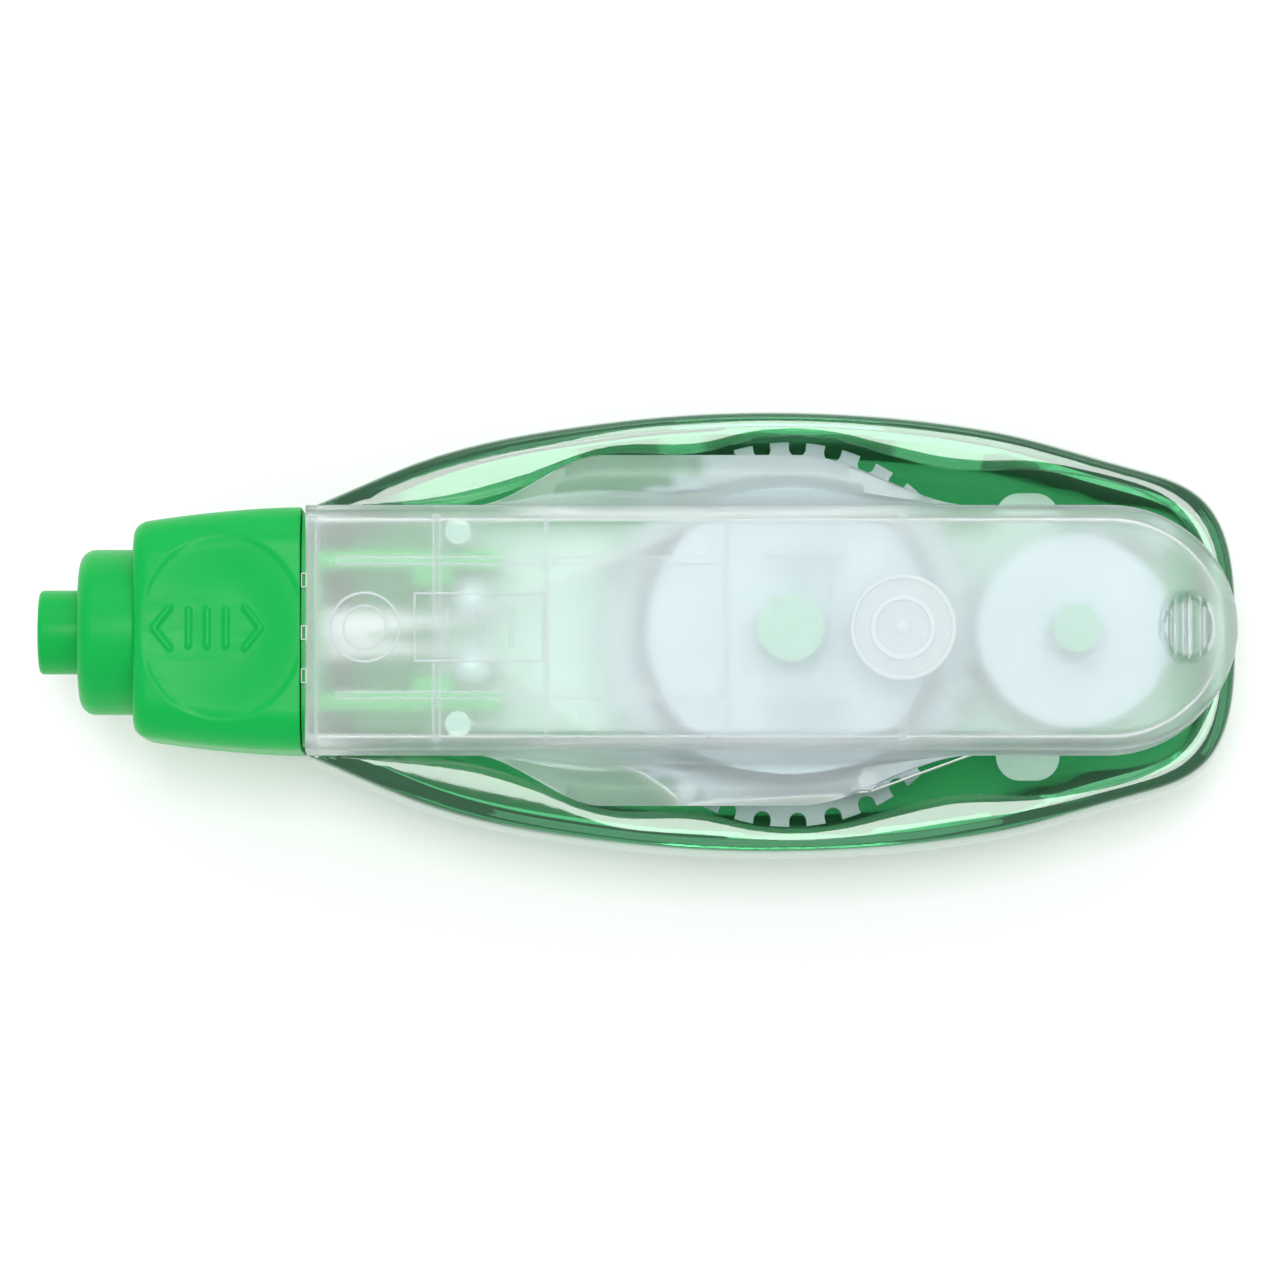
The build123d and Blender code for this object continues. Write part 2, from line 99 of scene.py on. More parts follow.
def grid(points, close_u=False, close_v=False):
    """A surface as (points, quads) from an array of nu by nv points, joined end to end where asked."""
    nu, nv = points.shape[:2]
    i = np.arange(nu if close_u else nu - 1)
    j = np.arange(nv if close_v else nv - 1)
    a, b = np.meshgrid(i, j, indexing="ij")
    c, d = (a + 1) % nu, (b + 1) % nv
    quads = np.stack([a * nv + b, c * nv + b, c * nv + d, a * nv + d], -1).reshape(-1, 4)
    return points.reshape(-1, 3), quads


def together(parts):
    """Several (points, quads) as one."""
    points, quads, count = [], [], 0
    for part_points, part_quads in parts:
        points.append(part_points)
        quads.append(part_quads + count)
        count += len(part_points)
    return np.concatenate(points), np.concatenate(quads)


def skin(outer, inner, open_ends=()):
    """A wall between two grids of the same shape, closed along each border that isn't named in open_ends."""
    nu, nv = outer.shape[:2]
    parts = [grid(outer), grid(inner[:, ::-1])]
    borders = {"first_u": (outer[0], inner[0]), "last_u": (outer[-1], inner[-1]),
               "first_v": (outer[:, 0], inner[:, 0]), "last_v": (outer[:, -1], inner[:, -1])}
    for name, (a, b) in borders.items():
        if name not in open_ends:
            parts.append(grid(np.stack([a, b])))
    return together(parts)


def turned(profile, centre, turns=48):
    """A solid of revolution about a vertical axis: (radius, height) pairs, from pole to pole."""
    radius, height = np.array(profile, float).T
    angle = np.linspace(0, 2 * np.pi, turns, endpoint=False)[:, None]
    x = centre[0] + radius * np.cos(angle)
    y = centre[1] + radius * np.sin(angle)
    return grid(np.stack([x, y, height + 0 * angle], -1), close_u=True)


def annulus(inner, outer, low, high, soft, centre, turns=64):
    """A flat ring about a vertical axis whose section is a rectangle with rounded corners."""
    around = np.linspace(0, 2 * np.pi, 20, endpoint=False) + np.pi / 40
    half_wide, half_tall = (outer - inner) / 2 - soft, (high - low) / 2 - soft
    radius = (inner + outer) / 2 + np.sign(np.cos(around)) * half_wide + soft * np.cos(around)
    height = (low + high) / 2 + np.sign(np.sin(around)) * half_tall + soft * np.sin(around)
    angle = np.linspace(0, 2 * np.pi, turns, endpoint=False)[:, None]
    points = np.stack([centre[0] + radius * np.cos(angle), centre[1] + radius * np.sin(angle),
                       height + 0 * angle], -1)
    return grid(points, close_u=True, close_v=True)


def bar(low, high, soft):
    """A box with rounded edges: a small sphere whose eight parts are pushed out to the box's corners."""
    low, high = np.array(low, float), np.array(high, float)
    v = np.linspace(-np.pi / 2, np.pi / 2, 10)[None, :]
    u = (np.arange(20) * 2 * np.pi / 20 + np.pi / 20)[:, None]
    ball = np.stack([np.cos(u) * np.cos(v), np.sin(u) * np.cos(v), np.sin(v) + 0 * u], -1)
    core = (high - low) / 2 - soft
    return grid((low + high) / 2 + np.sign(ball) * core + soft * ball, close_u=True)


def make_piece(name, surface, body, look, stands_for=(), sharp=40):
    """A mesh from (points in mm, quads), merged and turned outwards, riding on a CAD body."""
    points, quads = surface
    mesh = bpy.data.meshes.new(name)
    mesh.from_pydata((points * MM).tolist(), [], quads.tolist())
    work = bmesh.new()
    work.from_mesh(mesh)
    bmesh.ops.remove_doubles(work, verts=work.verts, dist=1e-6)
    bmesh.ops.dissolve_degenerate(work, edges=work.edges, dist=1e-7)
    bmesh.ops.recalc_face_normals(work, faces=work.faces)
    for face in work.faces:
        face.smooth = True
    work.to_mesh(mesh)
    work.free()
    mesh.set_sharp_from_angle(angle=math.radians(sharp))
    mesh.materials.append(look)
    made = bpy.data.objects.new(name, mesh)
    bpy.context.scene.collection.objects.link(made)
    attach(made, body)
    if stands_for:
        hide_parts(*stands_for)
    return made


# ---------------------------------------------------------------- shader maths

class Number:
    """A number that varies over a surface. Arithmetic on it adds Math nodes."""

    def __init__(self, shade, socket):
        self.shade = shade
        self.socket = socket

    def math(self, operation, first, second):
        """A Math node on two values."""
        made = self.shade.node("ShaderNodeMath", {"operation": operation}, {0: first, 1: second})
        return Number(self.shade, made.outputs[0])

    def __add__(self, other):
        return self.math("ADD", self, other)

    def __sub__(self, other):
        return self.math("SUBTRACT", self, other)

    def __rsub__(self, other):
        return self.math("SUBTRACT", other, self)

    def __mul__(self, other):
        return self.math("MULTIPLY", self, other)

    def __pow__(self, other):
        return self.math("POWER", self, other)

    __radd__ = __add__
    __rmul__ = __mul__


class Shade:
    """A material's node tree. Patterns read Object coordinates, so they stay on the piece."""

    def __init__(self, name):
        self.material = bpy.data.materials.new(name)
        self.material.use_nodes = True
        self.tree = self.material.node_tree
        self.tree.nodes.clear()
        self.place = self.node("ShaderNodeTexCoord").outputs["Object"]

    def node(self, kind, settings=None, sockets=None):
        """Any node: its settings first, then the values or links of its sockets."""
        made = self.tree.nodes.new(kind)
        for key, value in (settings or {}).items():
            if key == "stops":
                while len(made.color_ramp.elements) < len(value):
                    made.color_ramp.elements.new(0.5)
                for element, (position, colour) in zip(made.color_ramp.elements, value):
                    element.position = position
                    element.color = (*colour, 1)
            else:
                setattr(made, key, value)
        for key, value in (sockets or {}).items():
            value = value.socket if isinstance(value, Number) else value
            if isinstance(value, bpy.types.NodeSocket):
                self.tree.links.new(value, made.inputs[key])
            else:
                made.inputs[key].default_value = value
        return made

    def noise(self, size, detail=3.0, stretch=(1, 1, 1)):
        """Soft noise from 0 to 1 whose patches are about size mm across, stretched along the axes."""
        place = self.node("ShaderNodeMapping", None, {"Vector": self.place, "Scale": stretch}).outputs[0]
        made = self.node("ShaderNodeTexNoise", None,
                         {"Vector": place, "Scale": 1 / (size * MM), "Detail": detail})
        return Number(self, made.outputs[0])

    def blend(self, share, first, second):
        """A colour between two, by share."""
        made = self.node("ShaderNodeMix", {"data_type": "RGBA"}, {0: share, 6: (*first, 1), 7: (*second, 1)})
        return made.outputs[2]

    def bump(self, height, depth, strength=1.0):
        """A normal for relief of that height, depth in mm."""
        made = self.node("ShaderNodeBump", None,
                         {"Strength": strength, "Distance": depth * MM, "Height": height})
        return made.outputs[0]

    def mixed(self, share, first, second):
        """Two shaders by share."""
        made = self.node("ShaderNodeMixShader", None, {0: share, 1: first, 2: second})
        return made.outputs[0]

    def lit_through(self, shader, colour):
        """The shader, but lamps' rays pass it as through a clear tint, so that what is inside is lit."""
        clear = self.node("ShaderNodeBsdfTransparent", None, {"Color": (*colour, 1)}).outputs[0]
        lamp = self.node("ShaderNodeLightPath").outputs["Is Shadow Ray"]
        return self.mixed(lamp, shader, clear)

    def done(self, shader):
        """Ends the tree with its surface and gives back the material."""
        self.node("ShaderNodeOutputMaterial", None, {"Surface": shader})
        return self.material


# ---------------------------------------------------------------- materials

def green_shell():
    """Polished transparent green plastic: a tint that deepens towards grazing angles, a little haze, a painted
    pale sheen where the wall is seen along its surface, a clear gloss, faint flow waves and a few fine
    handling marks."""
    s = Shade("green_shell")
    flow = s.noise(14, 1.5, (0.5, 1, 1))
    marks = s.noise(0.5, 4, (0.15, 1, 1))
    waves = s.bump(flow, 0.25, 0.25)
    facing = s.node("ShaderNodeLayerWeight", None, {"Blend": 0.45, "Normal": waves})
    thin = s.node("ShaderNodeBsdfTransparent", None, {"Color": (0.30, 0.74, 0.47, 1)}).outputs[0]
    deep = s.node("ShaderNodeBsdfTransparent", None, {"Color": (0.20, 0.66, 0.38, 1)}).outputs[0]
    haze = s.node("ShaderNodeBsdfPrincipled", None, {
        "Base Color": s.blend(flow, (0.02, 0.48, 0.15), (0.04, 0.58, 0.20)), "Roughness": 0.5})
    tint = s.mixed(Number(s, facing.outputs["Facing"]), thin, deep)
    gloss = s.node("ShaderNodeBsdfPrincipled", None, {
        "Base Color": (0.97, 1.0, 0.98, 1), "Metallic": 1.0, "Roughness": marks ** 3.0 * 0.12 + 0.03,
        "Normal": waves})
    edge = s.node("ShaderNodeLayerWeight", None, {"Blend": 0.5, "Normal": waves})
    edge = Number(s, edge.outputs["Facing"]) ** 2.2
    # painted sheen: a pale green diffuse colour mixed in towards grazing angles stands in for the white
    # reflected along the rim
    painted_sheen = s.node("ShaderNodeBsdfPrincipled", None, {
        "Base Color": s.blend(flow, (0.50, 0.72, 0.58), (0.60, 0.80, 0.67)), "Roughness": 0.4})
    body = s.mixed(flow * 0.06 + 0.12, tint, haze.outputs[0])
    body = s.mixed(edge * 0.75, body, painted_sheen.outputs[0])
    shine = s.node("ShaderNodeFresnel", None, {"IOR": 1.55, "Normal": waves})
    return s.done(s.mixed(Number(s, shine.outputs[0]), body, gloss.outputs[0]))


def frosted(name, milkiness, blur):
    """Milky moulded plastic: rough glass that blurs what lies deeper, milk in it, and a fine satin grain."""
    s = Shade(name)
    cloud = s.noise(9, 2, (0.35, 1, 1))
    grain = s.noise(0.18, 3)
    satin = s.bump(grain, 0.02, 0.35)
    colour = s.blend(cloud, (0.95, 0.985, 0.99), (0.97, 0.995, 1.0))
    glass = s.node("ShaderNodeBsdfPrincipled", None, {
        "Base Color": colour, "Roughness": cloud * 0.06 + grain * 0.06 + blur, "IOR": 1.45,
        "Transmission Weight": 1.0, "Normal": satin})
    front = s.node("ShaderNodeBsdfPrincipled", None, {
        "Base Color": s.blend(cloud, (0.88, 0.93, 0.95), (0.92, 0.96, 0.97)), "Roughness": 0.35,
        "Normal": satin})
    through = s.node("ShaderNodeBsdfTranslucent", None, {"Color": (0.90, 0.95, 0.96, 1)})
    milk = s.mixed(0.5, front.outputs[0], through.outputs[0])
    plastic = s.mixed(cloud * 0.06 + milkiness, glass.outputs[0], milk)
    return s.done(s.lit_through(plastic, (0.68, 0.71, 0.71)))


def moulded(name, light, deep, roughness, milky=0.0, gloss=0.5):
    """Opaque or milky moulded plastic: cloudy colour, satin grain, faint flow lines and rub marks."""
    s = Shade(name)
    cloud = s.noise(7, 2, (0.5, 1, 1))
    flow = s.noise(2.2, 2, (0.12, 1, 1))
    grain = s.noise(0.16, 4)
    rubs = s.noise(0.7, 4, (0.2, 1.0, 1.0)) ** 4.0
    surface = s.node("ShaderNodeBsdfPrincipled", None, {
        "Base Color": s.blend(cloud * 0.7 + flow * 0.3, light, deep),
        "Roughness": grain * 0.1 + rubs * 0.5 + (roughness - 0.05), "IOR": 1.49,
        "Subsurface Weight": milky, "Subsurface Radius": (1.0, 1.0, 1.0), "Subsurface Scale": MM,
        "Specular IOR Level": gloss, "Normal": s.bump(grain * 0.7 + flow * 0.3, 0.012, 0.5)})
    return s.done(surface.outputs[0])


def wound(name, light, deep, centre, pitch=0.22):
    """Wound tape: fine concentric layers about a vertical axis, a little uneven."""
    s = Shade(name)
    shift = tuple(-c * MM for c in (centre[0], centre[1], 0))
    place = s.node("ShaderNodeMapping", None, {"Vector": s.place, "Location": shift}).outputs[0]
    rings = s.node("ShaderNodeTexWave", {"wave_type": "RINGS", "rings_direction": "Z", "wave_profile": "SAW"},
                   {"Vector": place, "Scale": 0.314 / (pitch * MM), "Distortion": 0.6, "Detail": 2.0})
    layers = Number(s, rings.outputs[1])
    fibre = s.noise(0.3, 4)
    surface = s.node("ShaderNodeBsdfPrincipled", None, {
        "Base Color": s.blend(layers * 0.6 + fibre * 0.4, light, deep), "Roughness": fibre * 0.2 + 0.5,
        "Normal": s.bump(layers + fibre * 0.4, 0.02, 0.6)})
    return s.done(surface.outputs[0])


def film(name, light, deep, roughness):
    """Thin coated film: matt, with faint cross creases."""
    s = Shade(name)
    fibre = s.noise(0.35, 4, (1, 1, 0.3))
    crease = s.noise(3.0, 2, (1, 0.2, 0.2))
    surface = s.node("ShaderNodeBsdfPrincipled", None, {
        "Base Color": s.blend(fibre * 0.5 + crease * 0.5, light, deep), "Roughness": fibre * 0.15 + roughness,
        "Normal": s.bump(crease, 0.05, 0.4)})
    return s.done(surface.outputs[0])


def spring_steel(name, stretch):
    """Bare steel with drawn or ground lines along one axis."""
    s = Shade(name)
    lines = s.noise(0.25, 3, stretch)
    surface = s.node("ShaderNodeBsdfPrincipled", None, {
        "Base Color": s.blend(lines, (0.62, 0.63, 0.65), (0.48, 0.49, 0.51)), "Metallic": 1.0,
        "Roughness": lines * 0.2 + 0.22, "Normal": s.bump(lines, 0.01, 0.4)})
    return s.done(surface.outputs[0])


def floor_paint():
    """Plain white floor, faintly lit from below like a light table, with a barely visible tooth."""
    s = Shade("floor_paint")
    tooth = s.noise(6, 3)
    surface = s.node("ShaderNodeBsdfPrincipled", None, {
        "Base Color": s.blend(tooth, (0.93, 0.93, 0.93), (0.95, 0.95, 0.95)), "Roughness": 0.9,
        "Emission Color": (1.0, 1.0, 1.0, 1), "Emission Strength": 0.14})
    return s.done(surface.outputs[0])


# ---------------------------------------------------------------- shell

# Half widths of the shell at its widest level, by distance behind the tray's front in mm, as if its rear
# were square; rear_round then rounds it.
SHELL_PLAN = [(0, 9.7), (9.6, 13.6), (21.6, 16.0), (38.4, 16.82), (51.6, 15.45), (62.8, 12.7), (69.8, 11.8)]
OPENING_PLAN = [(0, 9.4), (10, 9.4), (15.5, 10.9), (21.6, 13.3), (29, 13.5), (33, 14.5), (36, 14.8),
                (39, 14.5), (43.5, 13.3), (47, 12.4), (55, 12.2), (61, 11.3), (67.4, 9.9)]
SHELL_WALL = 1.4
RIM_ROUND = 0.55
RIM_DRAW = 0.4             # the sides draw in this far up to the rim
FRONT_RIM_SINK = 0.13      # the rim lies this much lower beside the tray's front
SUPERELLIPSE = 2.2
MOUTH_HALF = 8.4
MOUTH_DROP = 6.8


def rear_round(share):
    """Rounds an outline's rear end: (1 - share^28)^0.35, which is 1 until close to the end."""
    return np.clip(1 - share ** 28, 0, 1) ** 0.35


SIDE_SHARE = 1 - (1 - np.linspace(0, 1, 84)) ** 2.4
FRONT_STEPS = 24


def outline_ring(front, rear, half, height):
    """A closed ring at one height: down one side, round the rear, back up the other and across the front.
    Its front stretch dips under the mouth that the refill passes."""
    x = front + SIDE_SHARE * (rear - front)
    half = half * rear_round(SIDE_SHARE)
    side = np.stack([x, half, 0 * x + height], -1)
    back = side[-2::-1] * (1, -1, 1)
    across = np.linspace(-half[0], half[0], FRONT_STEPS + 2)[1:-1]
    low_edge = np.where(np.abs(across) < MOUTH_HALF, np.minimum(height, shell_high[2] - MOUTH_DROP), height)
    edge = np.stack([0 * across + front, across, low_edge], -1)
    return np.concatenate([side, back, edge])


def plan_half(plan):
    """Half widths of a plan outline at the ring's own shares, from the plan's own length."""
    return curve_through(plan, SIDE_SHARE * plan[-1][0])


def shell_rings():
    """From the outside's crown up to the rim, over it, down the lip and inside to the inner crown. Each side
    is a superellipse of power 2.2 between the small flat crown and the widest level."""
    rear = shell_high[0]
    rim = shell_high[2]
    wide_level = 0.66 * rim
    plan = plan_half(SHELL_PLAN)
    widest = plan.max()
    crown_half, crown_front, crown_rear = 6.6, tray_front + 17, tray_front + 49.5

    def dome(wall):
        """Rings from the crown's middle to the widest level, for the outside or, with a wall, the inside."""
        rings = []
        for share in (0.0, 0.3, 0.6, 0.85):
            mid = (crown_front + crown_rear) / 2
            reach = share * (crown_rear - crown_front) / 2
            rings.append(outline_ring(mid - reach, mid + reach, plan * share * crown_half / widest, wall))
        for angle in np.linspace(0, np.pi / 2, 30):
            grow, drop = math.sin(angle) ** (2 / SUPERELLIPSE), math.cos(angle) ** (2 / SUPERELLIPSE)
            scale = crown_half / widest + (1 - crown_half / widest) * grow
            front = crown_front + (tray_front - crown_front) * grow ** 0.8 + wall
            back = crown_rear + (rear - crown_rear) * grow - wall * grow
            rings.append(outline_ring(front, back, plan * scale - wall * grow,
                                      wall + (wide_level - wall) * (1 - drop)))
        return rings

    rings = dome(0.0)
    shoulder = rim - RIM_ROUND
    for share in np.linspace(0, 1, 6)[1:]:
        height = wide_level + (shoulder - wide_level) * share
        inset = RIM_DRAW * share ** 2
        rings.append(outline_ring(tray_front, rear - inset, plan - inset, height))
    for angle in np.linspace(0, np.pi / 2, 5)[1:]:
        inset = RIM_DRAW + RIM_ROUND * (1 - math.cos(angle))
        height = shoulder + RIM_ROUND * math.sin(angle)
        rings.append(outline_ring(tray_front, rear - inset, plan - inset, height))
    for ring in rings[-4:]:
        ring[:, 2] -= FRONT_RIM_SINK * (1 - ease(tray_front + 18, tray_front + 26, ring[:, 0]))
    top_edge = rings[-1]
    opening_rear = tray_front + OPENING_PLAN[-1][0]
    opening = plan_half(OPENING_PLAN)
    lip = outline_ring(tray_front + 0.5, opening_rear, opening, rim)
    for share, sink in ((0.35, 0.0), (0.7, 0.0), (0.88, 0.04)):
        ring = top_edge + share * (lip - top_edge)
        ring[:, 2] -= sink
        rings.append(ring)
    for sink in (0.2, 0.6, 1.0, 1.3):
        rings.append(outline_ring(tray_front + 0.5, opening_rear, opening, rim - sink))
    under = rim - SHELL_WALL
    rings.append(outline_ring(tray_front + 0.6, rear - SHELL_WALL - 0.5, plan - SHELL_WALL - 0.5, under))
    for share in (0.15, 0.5):
        height = under + (wide_level - under) * share
        rings.append(outline_ring(tray_front + 0.9, rear - SHELL_WALL, plan - SHELL_WALL, height))
    return np.stack(rings + dome(SHELL_WALL)[::-1])


# ---------------------------------------------------------------- refill tray

FACE_HALF = 9.1
TRAY_WALL = 0.9
FACE_WALL = 1.0
TRAY_DEPTH = 4.8
WING_THICK = 0.8
SPOON = 9.5
EDGE_ROUND = 0.55
WING_HALF = 13.1
WING_START = FACE_HALF + 0.2
BOSS_X = 44.3              # behind the tray's front
BOSS_RADIUS = 3.95


def wing_half(x):
    """Half width of the tray's flange: an S out from the front part, straight, and an S back in."""
    out = ease(tray_front + 12.2, tray_front + 22.0, x)
    back = ease(tray_front + 36.6, tray_front + 49.8, x)
    return WING_START + (WING_HALF - WING_START) * np.minimum(out, 1 - back)


def tray_section(half, wall, flange, drop):
    """Half of the tray's outer section from the middle outwards, as (y, z): face, rounded edge, flared wall,
    flange and its edge. wall moves all but the face inwards and drop lowers the face, for the inside."""
    foot = tray_face - TRAY_DEPTH
    flare = 0.25 + 1.05 * (flange - FACE_HALF - 0.2) / (WING_HALF - FACE_HALF - 0.2)
    top = tray_face - drop
    y, z = [], []
    for share in np.linspace(0, 1, 26):
        y.append(share * (half - wall - EDGE_ROUND))
        z.append(top)
    for angle in np.linspace(0, np.pi / 2, 6)[1:]:
        y.append(half - wall - EDGE_ROUND * (1 - np.sin(angle)))
        z.append(top - EDGE_ROUND * (1 - np.cos(angle)))
    shelf = foot + WING_THICK
    for share in (0.35, 0.7, 0.92):
        y.append(half - wall + flare * share ** 1.5)
        z.append(top - EDGE_ROUND + (shelf - top + EDGE_ROUND) * share)
    edge = half + flare - wall if wall else np.maximum(half + flare, half + flange - FACE_HALF)
    for share in (0.1, 0.5, 0.9):
        y.append(half + flare - wall + (edge - half - flare + wall) * share)
        z.append(shelf - 0.12 * share * (wall == 0))
    y.append(edge)
    z.append(shelf - 0.3 if wall == 0 else foot + 0.3)
    y.append(edge)
    z.append(foot)
    return y, z


def tray_pan():
    """The frosted tray: one section carried from front to rear, ending in half an ellipse, with a shallow
    thumb dish near the end; the inside is the same surface drawn in by the wall."""
    rear = tray_high[0]
    turn = rear - SPOON
    straight = np.concatenate([np.linspace(0, 0.4, 4), np.linspace(0.8, turn - tray_front, 190)]) + tray_front
    angle = np.linspace(0, np.pi / 2, 90)[1:]

    def layer(wall, drop):
        """The whole surface drawn in by wall and lowered by drop, mirrored across the middle."""
        reach = SPOON - wall
        stations = [(x, FACE_HALF) for x in straight]
        stations += [(turn + reach * math.sin(a), None) for a in angle]
        rows = []
        for k, (x, half) in enumerate(stations):
            shrink = 1.0 if half else math.cos(angle[k - len(straight)])
            y, z = tray_section(FACE_HALF, wall, wing_half(min(x, turn)), drop)
            y = np.array(y) * shrink
            rows.append(np.stack([0 * y + x, y, np.array(z) + 0 * y], -1))
        half_sheet = np.stack(rows)
        mirrored = half_sheet[:, :0:-1] * (1, -1, 1)
        sheet = np.concatenate([mirrored, half_sheet], 1)
        dish = thumb_dish(sheet[..., 0], sheet[..., 1])
        sheet[..., 2] -= np.where(sheet[..., 2] > tray_face - drop - 1e-6, dish, 0)
        return sheet

    return skin(layer(0.0, 0.0), layer(TRAY_WALL, FACE_WALL), open_ends=("last_u",))


THUMB_X = 65.4
THUMB_REACH = (2.1, 2.6)
RIDGE_PITCH = 1.1


def thumb_dish(x, y):
    """Depth of the dish for a fingertip: half an ellipsoid's flat floor, with three ridges across it."""
    dx, dy = x - tray_front - THUMB_X, y
    inside = 1 - ease(0.82, 1.0, np.hypot(dx / THUMB_REACH[0], dy / THUMB_REACH[1]))
    ridges = np.maximum.reduce([1 - ease(0.1, 0.3, np.abs(dx - step))
                                for step in (-RIDGE_PITCH, 0.0, RIDGE_PITCH)])
    return inside * (0.42 - 0.3 * ridges)


def tray_inside():
    """What stands inside the tray: front wall, cross ribs, keels, T-shaped clips, boss and two film pins."""
    roof = tray_face - FACE_WALL + 0.3
    foot = tray_face - TRAY_DEPTH
    inner = FACE_HALF - TRAY_WALL + 0.2
    parts = [bar((tray_front + 0.05, -inner, foot + 0.8), (tray_front + 0.8, inner, roof), 0.12)]
    for x in (9.4, 44.0):
        parts.append(bar((tray_front + x, -inner, roof - 1.9), (tray_front + x + 0.6, inner, roof), 0.1))
    for x, thick in ((17.7, 0.3), (31.1, 0.3), (38.8, 0.3)):
        parts.append(bar((tray_front + x, -inner, roof - 0.9), (tray_front + x + thick, inner, roof), 0.08))
    for side in (-1, 1):
        for end, deep in ((2.2, 18.0), (18.4, 31.0)):
            y = sorted((side * 4.7, side * 5.3))
            parts.append(bar((tray_front + end, y[0], roof - 1.4), (tray_front + deep, y[1], roof), 0.1))
        y = sorted((side * 5.2, side * 5.9))
        parts.append(bar((tray_front + 34.0, y[0], roof - 1.9), (tray_front + 40.2, y[1], roof), 0.15))
        y = sorted((side * 4.3, side * 6.5))
        parts.append(bar((tray_front + 36.3, y[0], roof - 1.9), (tray_front + 37.6, y[1], roof), 0.15))
    boss_low = disc_high[2] + 0.3
    parts.append(turned([(0, boss_low), (2.1, boss_low), (2.2, boss_low + 0.4), (3.5, boss_low + 0.4),
                         (3.9, boss_low + 0.8), (BOSS_RADIUS, roof), (0, roof)], (tray_front + BOSS_X, 0)))
    for x, y in ((28.3, -11.9), (41.8, -11.2)):
        low, top = tape_low[2], foot + 0.2
        parts.append(turned([(0, low), (0.5, low), (0.7, low + 0.25), (0.7, top), (0, top)],
                            (tray_front + x, y), 24))
    return together(parts)


def cap_tongues():
    """Three short tongues on the tray's front that bridge the gap to the cap."""
    top = tray_face - 0.15
    return together([bar((tray_front - 0.33, y - 0.55, top - 1.2), (tray_front + 0.1, y + 0.55, top), 0.08)
                     for y in (-3.6, -0.4, 3.5)])


def tray_marks():
    """Low relief on the tray's face: boss rings, a plain ring and an empty frame with three bars."""
    sink, crest, soft = tray_face - 0.1, tray_face + 0.1, 0.08
    boss = (tray_front + BOSS_X, 0)
    ring = (tray_front + 4.4, 0)
    parts = [annulus(inner, outer, sink, crest, soft, centre) for inner, outer, centre in (
        (3.6, BOSS_RADIUS, boss), (2.0, 2.45, boss), (2.45, 2.65, ring), (1.5, 1.68, ring))]
    parts.append(turned([(0, sink), (0.5, sink), (0.5, tray_face + 0.04), (0.4, crest), (0, crest)],
                        boss, 24))
    left, right, half, line = tray_front + 8.1, tray_front + 17.6, 2.5, 0.09
    for y in (-half, half):
        parts.append(bar((left, y - line, sink), (right, y + line, crest), soft))
    for x in (left, right):
        parts.append(bar((x - line, -half, sink), (x + line, half, crest), soft))
    for step in range(3):
        x = left + 2.2 + step * 2.4
        parts.append(bar((x, -1.4, sink), (x + 0.3, 1.4, crest), soft))
    return together(parts)


# ---------------------------------------------------------------- twist cap

NOSE_BORE = 6.6
NOSE_FRONT_HALF = (7.95, 6.95)
NOSE_CORNER = 3.0
NOSE_ROUND_START = 0.9     # share of the cap's length where its front starts to round


def rounded_section(half_wide, half_tall, corner, shares):
    """Points round a rounded rectangle at shares of its length, from the middle of its right side."""
    angle = np.linspace(0, 2 * np.pi, 721)
    wide = np.clip(np.cos(angle) * 50, -1, 1) * (half_wide - corner) + corner * np.cos(angle)
    tall = np.clip(np.sin(angle) * 50, -1, 1) * (half_tall - corner) + corner * np.sin(angle)
    run = np.concatenate([[0], np.cumsum(np.hypot(np.diff(wide), np.diff(tall)))])
    return np.interp(shares * run[-1], run, wide), np.interp(shares * run[-1], run, tall)


def stroke(x, y, start, end, width):
    """1 along a straight stroke between two points and 0 away from it, with soft edges."""
    dx, dy = end[0] - start[0], end[1] - start[1]
    t = np.clip(((x - start[0]) * dx + (y - start[1]) * dy) / (dx * dx + dy * dy), 0, 1)
    away = np.hypot(x - start[0] - t * dx, y - start[1] - t * dy)
    return 1 - ease(width / 2 - 0.06, width / 2 + 0.1, away)


def nose_relief(x, y):
    """Depth of the cap's shallow oval dish, less the raised turn mark in it: chevrons either side of three
    bars."""
    centre = (nose_low[0] + nose_high[0]) / 2 + 0.1
    oval = np.hypot((x - centre - 0.4) / 6.3, y / 7.1)
    dish = 0.42 * (1 - ease(0.35, 1.0, oval)) + 0.12 * (1 - ease(0.93, 1.0, oval))
    mark = np.zeros_like(x)
    first = nose_low[0] + 1.6
    for place, way in ((first + 0.6, -1), (first + 7.4, 1)):
        for side in (-1, 1):
            arm = stroke(x, y, (place + way * 0.6, 0), (place - way * 0.6, side * 1.5), 0.36)
            mark = np.maximum(mark, arm)
    for step in range(3):
        place = first + 2.6 + 1.4 * step
        mark = np.maximum(mark, stroke(x, y, (place, -1.3), (place, 1.3), 0.36))
    return dish - 0.17 * mark


